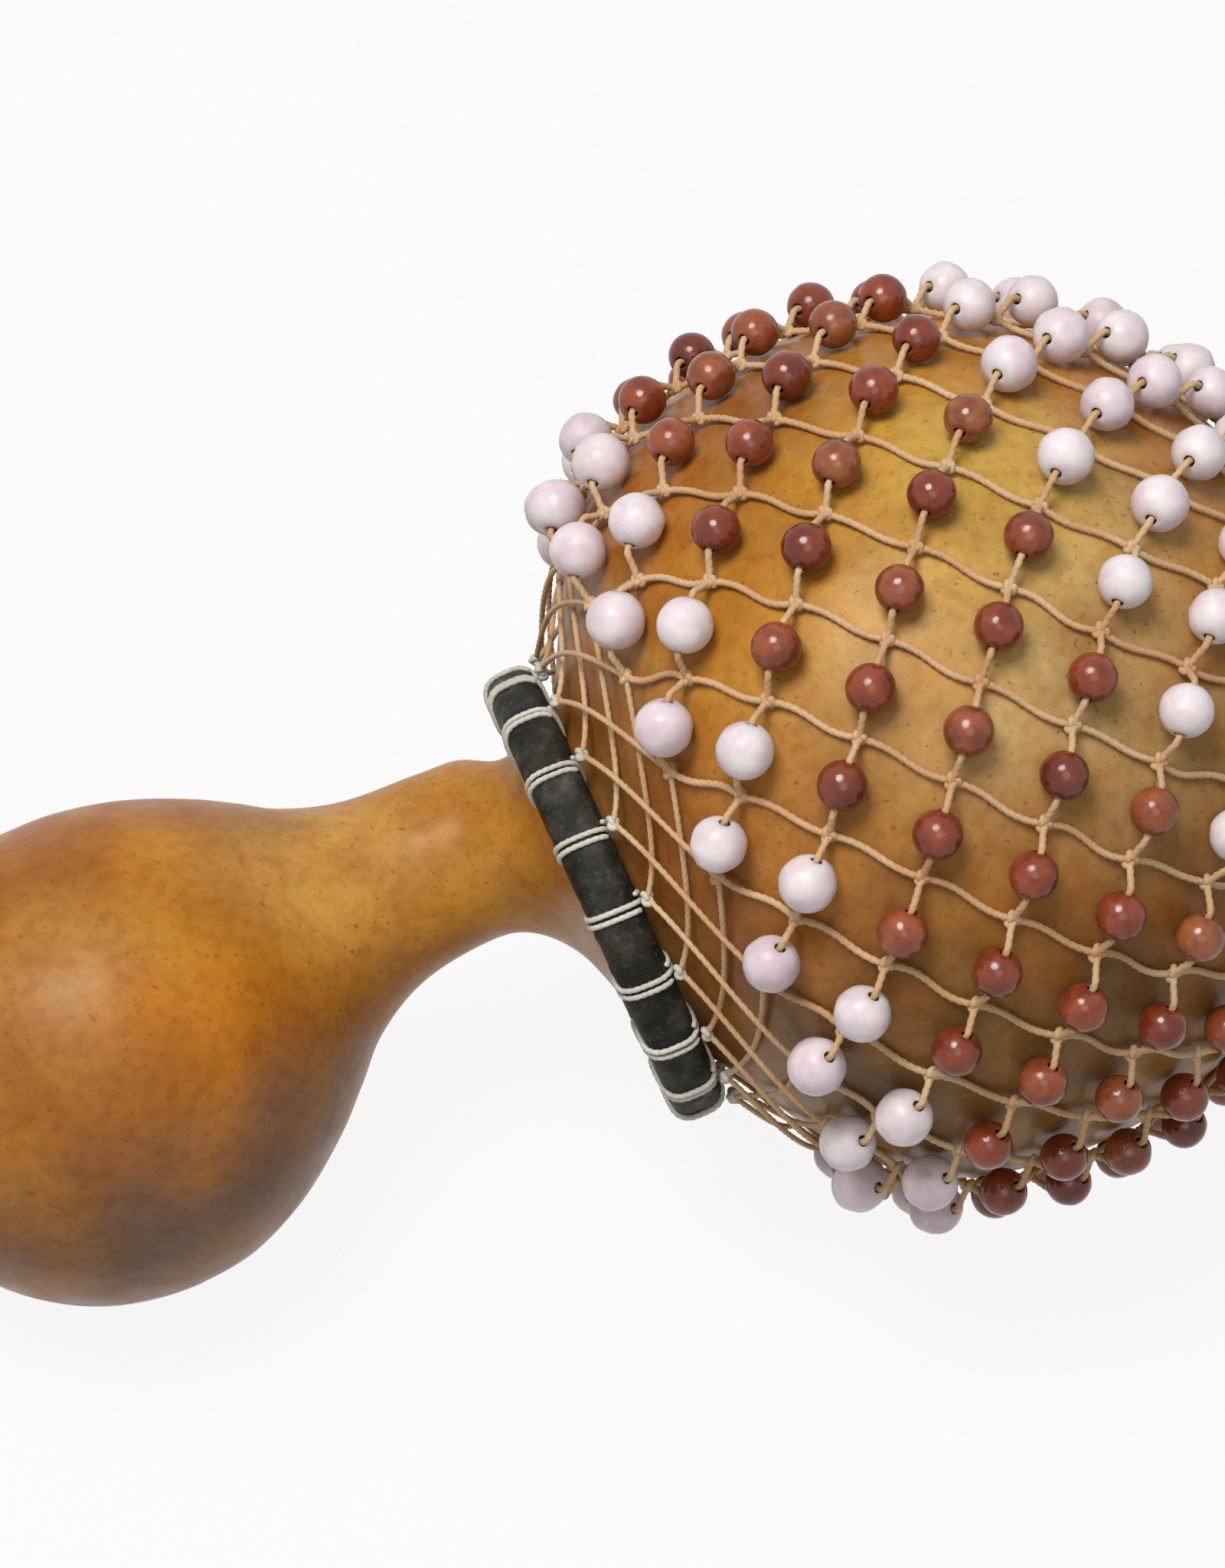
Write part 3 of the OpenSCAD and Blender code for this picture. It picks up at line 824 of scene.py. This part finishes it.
for name, way, middle in (("left", -1, under_layer), ("right", 1, under_layer + strand_lift)):
    pile = Pile()
    for i in range(net_count):
        pile.add(cord_grid(strand_route(i, way, middle), head_middle, strand_cord_r, pitch=strand_pitch,
                           start=dice.uniform(0, twist_most)), dice.random())
    strands = place("strands_" + name, pile, net_finish, "neck_strands_" + name)
    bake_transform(strands)
print("strands:", 2 * net_count)

# %% [markdown]
# ## The net's cords
# One leg of each mesh carries the bead: it climbs from the knot, runs through the bead
# and comes down to the next knot. The other leg is bare and lies along the gourd. Every
# crossing is a knot, and hand-drawn knots differ a little in size and lie.

# %% Legs of a mesh
net_cord_r, bead_gap, leg_end, bare_end = 0.66, 0.3, 0.9, 0.95
bare_points, bare_sink, wave_span, bow_most = 8, 0.35, (0.35, 0.8), 0.35


def beaded_leg(a, b, bead, half):
    way = unit(b - a)
    out = way * (half + bead_gap)
    inside = way * half * 0.5
    return [a, mix(a, bead - out, 0.5), bead - out, bead - inside, bead, bead + inside, bead + out,
            mix(bead + out, b, 0.5), mix(bead + out, b, leg_end)]


def bare_leg(a, c, way, wave, bow):
    """A bare leg waves to one side and back, the same way round in every mesh."""
    sideways = unit(np.cross(outward((a + c) / 2), c - a))
    away = np.cross(outward(a), way)
    if np.dot(away, sideways) * np.dot(away, c - a) < 0:
        sideways = -sideways
    route = []
    for t in np.linspace(0, bare_end, bare_points):
        drift = wave * math.sin(2 * math.pi * t) + bow * math.sin(math.pi * t)
        on_leg = mix(a, c, t)
        route.append(on_leg + drift * sideways - bare_sink * math.sin(math.pi * t) * outward(on_leg))
    return route


print("cord of the net, mm thick:", 2 * net_cord_r)

# %% [markdown]
# Each round of the net is one piece, with its legs and its knots. The dice are thrown in
# a fixed order from one seed, so the net comes out the same each time.

# %% Net cords
net_knot_sizes, net_knot_cord_r, net_knot_lies = (3.0, 3.4), 0.6, (1.05, 1.25)

for row in range(1, net_rows + 1):
    cords = Pile()
    for i in range(net_count):
        a, b, c = knot_at(row, i), knot_at(row + 1, i - 1), knot_at(row + 1, i)
        way = unit(b - a)
        tone = dice.random()
        cords.add(cord_grid(beaded_leg(a, b, bead_at(row, i), bead_d(row) / 2), head_middle, net_cord_r,
                            start=dice.uniform(0, twist_most)), tone)
        wave, bow = dice.uniform(*wave_span), dice.uniform(-bow_most, bow_most)
        cords.add(cord_grid(bare_leg(a, c, way, wave, bow), head_middle, net_cord_r,
                            start=dice.uniform(0, twist_most)), tone)
        cords.add(knot_grid(a, way, outward(a), dice.uniform(*net_knot_sizes), net_knot_cord_r,
                            dice.uniform(*net_knot_lies)), tone, looped=True)
    place("cords_%02d" % row, cords, net_finish, "net_course_%02d" % row, "net")
print("knots in the net:", net_rows * net_count)

# %% [markdown]
# ## Beads
# The beads are turned beads with a bored hole: large milky ones by the collar and at the
# far end, smaller maroon ones between. A sphere would show no bore, so a bead is a lathe
# form whose profile runs down the hole, over a small worn lip and round the ball. A slow
# noise swells it a little, because no two are quite alike in trueness.

# %% Bead form
bead_sides, ball_points, lip_width = 28, 17, 0.34
swell_wave, swell_rise, swell_shift, swell_from = 2.2, 2.4, 9, 0.4


def bead_profile(r, hole):
    top = math.sqrt(r * r - (hole + lip_width) ** 2)
    start = math.atan2(hole + lip_width, top)
    ball = [(r * math.sin(a), r * math.cos(a)) for a in np.linspace(start, math.pi - start, ball_points)]
    ends = [(hole, top - lip_width * 1.2), (hole + lip_width * 0.3, top - lip_width * 0.35)]
    return [(hole, 0)] + ends + ball + [(x, -y) for x, y in reversed(ends)]


def bead_grid(centre, way, d, hole_d, shape, uneven):
    z = unit(way)
    x = unit(np.cross(z, outward(centre)))
    y = np.cross(z, x)
    turned = shape * 2 * math.pi
    rows = []
    for r, h in bead_profile(d / 2, hole_d / 2):
        ring = []
        for a in np.linspace(0, 2 * math.pi, bead_sides, endpoint=False):
            swell = 1.0
            if r > hole_d / 2 + swell_from:
                swell += uneven * noise.noise(Vector((
                    swell_wave * math.cos(a + turned), swell_wave * math.sin(a + turned),
                    h / swell_rise + swell_shift * shape)))
            ring.append(centre + (x * math.cos(a) + y * math.sin(a)) * r * swell + z * h)
        rows.append(ring)
    return np.array(rows)


print("points in a bead:", len(bead_profile(white_d / 2, bead_hole_d / 2)) * bead_sides)

# %% [markdown]
# White beads are milky: light goes into them and comes out softened, which is what
# subsurface scattering does, with faint violet clouds. Maroon ones are clear-glossed over
# a darker grain. The tone of a bead shifts its colour, and a tone past 1 marks its bore,
# which gets a dark colour: painted shade for the inside of the hole.

# %% Bead finishes
bore_tone, bore_from, bore_full = 2, 1.2, 1.8


def bead_colour(finish, shades, clouds_at, clouds, clear_from, cloud_share, painted_bore_shade):
    tone = finish.tone()
    low, middle, high = shades
    shade = finish.ramp(tone, (0.0, low), (0.5, middle), (1.0, high))
    cloudy = finish.ramp(finish.noise(clouds_at, 4.0), (0.38, clouds), (clear_from, white))
    shade = finish.mix(cloud_share, shade, cloudy, "MULTIPLY")
    # The bore's dark colour is painted shade for the inside of the hole.
    finish.colour(finish.mix(finish.span(tone, 0.0, 1.0, bore_from, bore_full), shade, painted_bore_shade))


milky = Finish("white_bead", Subsurface_Weight=0.75, Subsurface_Scale=0.005,
               Subsurface_Radius=(1.0, 0.85, 0.8), Specular_IOR_Level=0.27)
bead_colour(milky, ((0.64, 0.54, 0.56), (0.70, 0.61, 0.62), (0.73, 0.66, 0.65)),
            190, (0.82, 0.74, 0.79), 0.58, 0.7, (0.12, 0.09, 0.08))
milky.rough(0.24, 0.4, 500, 2.0)
milky.bump(milky.noise(420, 2.0), 0.00012, 0.3)

maroon = Finish("red_bead", Specular_IOR_Level=0.4)
bead_colour(maroon, ((0.155, 0.027, 0.010), (0.255, 0.048, 0.016), (0.290, 0.090, 0.030)),
            260, (0.52, 0.42, 0.40), 0.6, 0.8, (0.03, 0.012, 0.008))
maroon.rough(0.10, 0.28, 600, 2.0)
maroon.bump(maroon.noise(700, 3.0), 0.0001, 0.3)
print("bead finishes:", milky.material.name, maroon.material.name)

# %% [markdown]
# Each bead is set on its leg, nudged along it by less than a millimetre, because real
# beads have slid a little either way before the picture was taken.

# %% Bead rows
near_sizes, far_sizes, nudge = (0.965, 1.02), (0.91, 0.99), 0.6
red_uneven, white_uneven = 0.025, 0.045

for row in range(1, net_rows + 1):
    beads = Pile()
    for i in range(net_count):
        way = unit(knot_at(row + 1, i - 1) - knot_at(row, i))
        sizes = far_sizes if row > first_white_rows + red_rows else near_sizes
        size = bead_d(row) * dice.uniform(*sizes)
        centre = bead_at(row, i) + way * dice.uniform(-nudge, nudge)
        uneven = red_uneven if is_red(row) else white_uneven
        form = bead_grid(centre, way, size, bead_hole_d, dice.random(), uneven)
        # Rings down the bore are marked so that they get that painted shade.
        in_bore = np.isin(np.arange(len(form)), (0, 1, len(form) - 1))
        beads.add(form, dice.random() + bore_tone * in_bore, looped=True)
    slot, finish = ("red_bead", maroon) if is_red(row) else ("white_bead", milky)
    place("beads_%02d" % row, beads, finish.material, "bead_row_%02d" % row, "net")
print("beads:", net_rows * net_count)

# %% [markdown]
# ## The far end
# The last knots are gathered on a thicker cord that closes round the flower scar. It
# has the finish of the net's cord and lies on the gourd as the rest does.

# %% Base ring
base_cord_d, base_twists, base_step = 1.6, 90, 0.5
base_knot_sizes, base_knot_lie = (3.1, 3.4), 1.1
last = on_head(net_end_deg, 0, seat_air + knot_d / 2)
ring_u, ring_r = float(last[0]), float(last[2])

pile = Pile()
loop = [round_head(ring_u, ring_r, turn) for turn in np.linspace(0, 360, 61)]
pile.add(cord_grid(loop, head_middle, base_cord_d / 2, pitch=ring_r * 2 * math.pi / base_twists,
                   step=base_step, blunt=1.0))
for i in range(net_count):
    at = knot_at(net_rows + 1, i)
    along_ring = outward(at - [ring_u - head_u, 0, 0])
    pile.add(knot_grid(at, along_ring, outward(at), dice.uniform(*base_knot_sizes), net_knot_cord_r,
                       base_knot_lie), dice.random(), looped=True)
place("base_ring_cord", pile, net_finish, "base_ring", "net")
print("base ring radius, mm:", round(ring_r, 1))

# %% [markdown]
# The ring's two ends are tied in a lump and cut off short, pointing towards the pole.

# %% Base knot
base_knot_d, base_knot_spread, base_tail, tail_lift = 4.4, 0.6, 7.0, 0.5
turn = net_phase_deg + (1 / 2 + (net_rows + 1) / 2) * step_deg
t, e = math.radians(turn), math.radians(net_end_deg)
at = round_head(ring_u, ring_r, turn)
lump = at + (base_knot_d - knot_d) / 2 * outward(at)
poleward = np.array([math.sin(e), math.cos(e) * math.sin(t), -math.cos(e) * math.cos(t)])
across = np.array([0, math.cos(t), math.sin(t)])

pile = Pile()
pile.add(knot_grid(lump, across, outward(at), base_knot_d + base_knot_spread, base_cord_d / 2, tied_lie),
         looped=True)
for way in (-1, 1):
    tail = unit(poleward + way * across) * base_tail
    lift = outward(at) * tail_lift
    route = [lump, lump + 0.4 * tail + lift, lump + 0.75 * tail + lift * 0.4, lump + tail]
    pile.add(cord_grid(route, head_middle, base_cord_d / 2))
place("base_knot_form", pile, net_finish, "base_knot", "net")
print("tails of the base knot, mm:", base_tail)

# %% [markdown]
# ## Floor
# The picture is a cut-out on white. A pale sheet of paper takes the object's faint
# shadow. Light Path lets the camera and all reflections see it mostly as plain white.
# That white shows in the object's gloss and otherwise puts no light on it.

# %% Floor
floor_reach, floor_drop, paper_tone, paper_rough, white_share = 6.0, 0.0004, 0.55, 0.95, 0.9
corners = [(-1, -1), (1, -1), (1, 1), (-1, 1)]

sheet = bpy.data.meshes.new("floor")
sheet.from_pydata([(floor_reach * x, floor_reach * y, 0) for x, y in corners], [], [(0, 1, 2, 3)])
floor_piece = bpy.data.objects.new("floor", sheet)
floor_piece.location.z = -floor_drop
bpy.context.collection.objects.link(floor_piece)

paper = Finish("paper", Roughness=paper_rough, Base_Color=(paper_tone, paper_tone, paper_tone, 1))
glow = paper.add("ShaderNodeEmission", Color=(1, 1, 1, 1))
rays = paper.add("ShaderNodeLightPath").outputs
mirrored = paper.maths("MAXIMUM", rays["Is Camera Ray"], rays["Is Glossy Ray"])
looked_at = paper.maths("MAXIMUM", mirrored, rays["Is Transmission Ray"])
seen = paper.maths("MULTIPLY", looked_at, white_share)
both_looks = paper.add("ShaderNodeMixShader", i0=seen, i1=paper.shader.outputs[0], i2=glow.outputs[0])
paper.wire(paper.tree.nodes["Material Output"].inputs["Surface"], both_looks.outputs[0])
sheet.materials.append(paper.material)
floor_piece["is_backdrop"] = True
print("floor, m across:", 2 * floor_reach)

# %% [markdown]
# ## Lamps
# The picture's light is soft and comes from above, a little from the left. One broad lamp
# stands there, and a weaker one in front opens the shadows. Broad lamps give soft
# shadows and the wide, quiet highlights on the gourd.

# %% Lamps
def lamp(name, place_mm, size, power):
    light = bpy.data.lights.new(name, "AREA")
    light.shape = "DISK"
    light.size = size
    light.energy = power
    made = bpy.data.objects.new(name, light)
    made.location = Vector(collar_centre) + Vector(place_mm) * MM
    aim = Vector(collar_centre) - made.location
    made.rotation_euler = aim.to_track_quat("-Z", "Y").to_euler()
    bpy.context.collection.objects.link(made)
    return made


lamps = [lamp("key", (-390, -100, 1480), 0.75, 23), lamp("front", (-250, -1000, 1130), 0.9, 4)]
print("lamps, watts:", [made.data.energy for made in lamps])

# %% [markdown]
# ## World
# The world gives a weak, even light from all round. The camera and all reflections see
# white instead, as in a white room, and that white lights nothing else.

# %% World
soft_colour, soft_strength = (0.95, 0.97, 1, 1), 0.25
sky = bpy.data.worlds.new("studio")
bpy.context.scene.world = sky
sky.use_nodes = True
nodes, links = sky.node_tree.nodes, sky.node_tree.links
nodes.clear()
path = nodes.new("ShaderNodeLightPath")
bright = nodes.new("ShaderNodeBackground")
bright.inputs["Color"].default_value = (1, 1, 1, 1)
soft = nodes.new("ShaderNodeBackground")
soft.inputs["Color"].default_value = soft_colour
soft.inputs["Strength"].default_value = soft_strength

seen_white = path.outputs["Is Camera Ray"]
for ray in ("Is Glossy Ray", "Is Transmission Ray"):
    either = nodes.new("ShaderNodeMath")
    either.operation = "MAXIMUM"
    links.new(seen_white, either.inputs[0])
    links.new(path.outputs[ray], either.inputs[1])
    seen_white = either.outputs[0]

pick = nodes.new("ShaderNodeMixShader")
for socket, source in zip(pick.inputs, (seen_white, soft.outputs[0], bright.outputs[0])):
    links.new(source, socket)
links.new(pick.outputs[0], nodes.new("ShaderNodeOutputWorld").inputs["Surface"])
bpy.context.scene.view_settings.view_transform = "Standard"
print("world light:", soft_strength)

# %% [markdown]
# ## Boxes
# The box of the solids and the box of the dressed model are both printed. The dressed
# model has to stay inside the solids' box.

# %% Sizes and finish
visual_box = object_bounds()
sizes = {"cad": [list(v) for v in cad_box], "visual": [list(v) for v in visual_box]}
for name, box in sizes.items():
    print(name, "box, mm:", [[round(1000 * c, 1) for c in corner] for corner in box])
